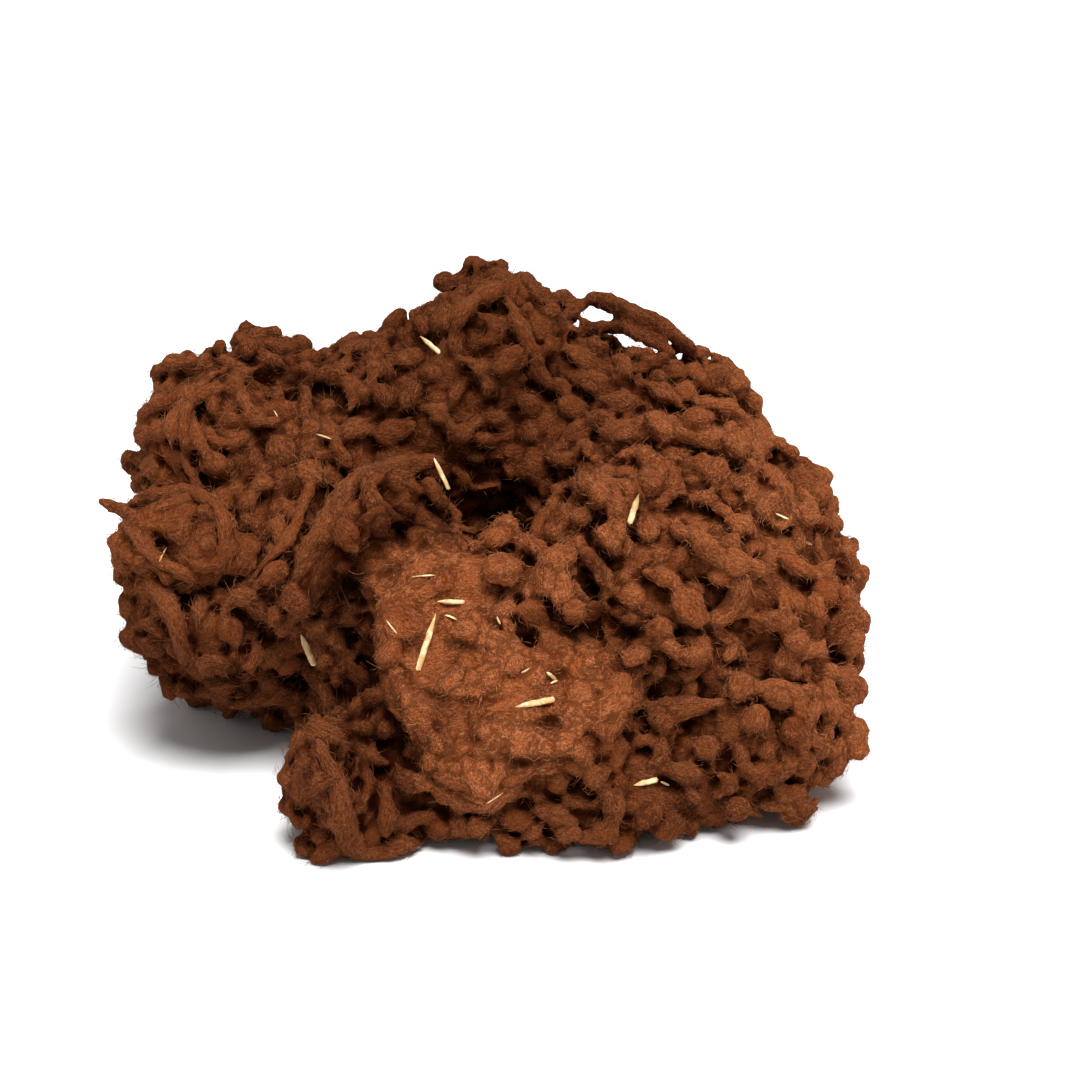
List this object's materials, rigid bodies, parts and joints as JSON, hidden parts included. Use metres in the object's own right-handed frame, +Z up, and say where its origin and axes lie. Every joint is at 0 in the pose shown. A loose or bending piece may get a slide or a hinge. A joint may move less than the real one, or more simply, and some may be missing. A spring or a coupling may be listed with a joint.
{
  "type": "heap of merino wool nepps",
  "caption": "Loose matted heap of brown felted wool nepps and rolled slubs with flecks of straw, lying on a flat surface, for felting, spinning and craft texture.",
  "frame": {"origin": "middle of the heap's outline, on the surface that it rests on", "axes": "+Z up, +X along the heap's longest side, the side that the picture shows towards -Y"},
  "size_m": [0.1346, 0.1136, 0.0842],
  "materials": {
    "matted_wool": "matted brown wool, very rough, with a fine fuzz",
    "slub_wool": "rolled brown wool, very rough",
    "nepp_wool": "felted brown wool balls, very rough",
    "straw": "dry golden straw, half matt"
  },
  "bodies": {
    "root": {"matted_mass": "matted_wool", "front_flap": "matted_wool", "left_fold": "matted_wool", "slub_1": "slub_wool", "slub_2": "slub_wool", "slub_3": "slub_wool", "slub_4": "slub_wool", "slub_5": "slub_wool", "slub_6": "slub_wool", "slub_7": "slub_wool", "slub_8": "slub_wool", "slub_9": "slub_wool", "nepp_1": "nepp_wool", "nepp_2": "nepp_wool", "nepp_3": "nepp_wool", "nepp_4": "nepp_wool", "nepp_5": "nepp_wool", "nepp_6": "nepp_wool", "nepp_7": "nepp_wool", "nepp_8": "nepp_wool", "nepp_9": "nepp_wool", "nepp_10": "nepp_wool", "straw_1": "straw", "straw_2": "straw", "straw_3": "straw", "straw_4": "straw", "straw_5": "straw", "straw_6": "straw", "straw_7": "straw", "straw_8": "straw"}
  },
  "joints": []
}
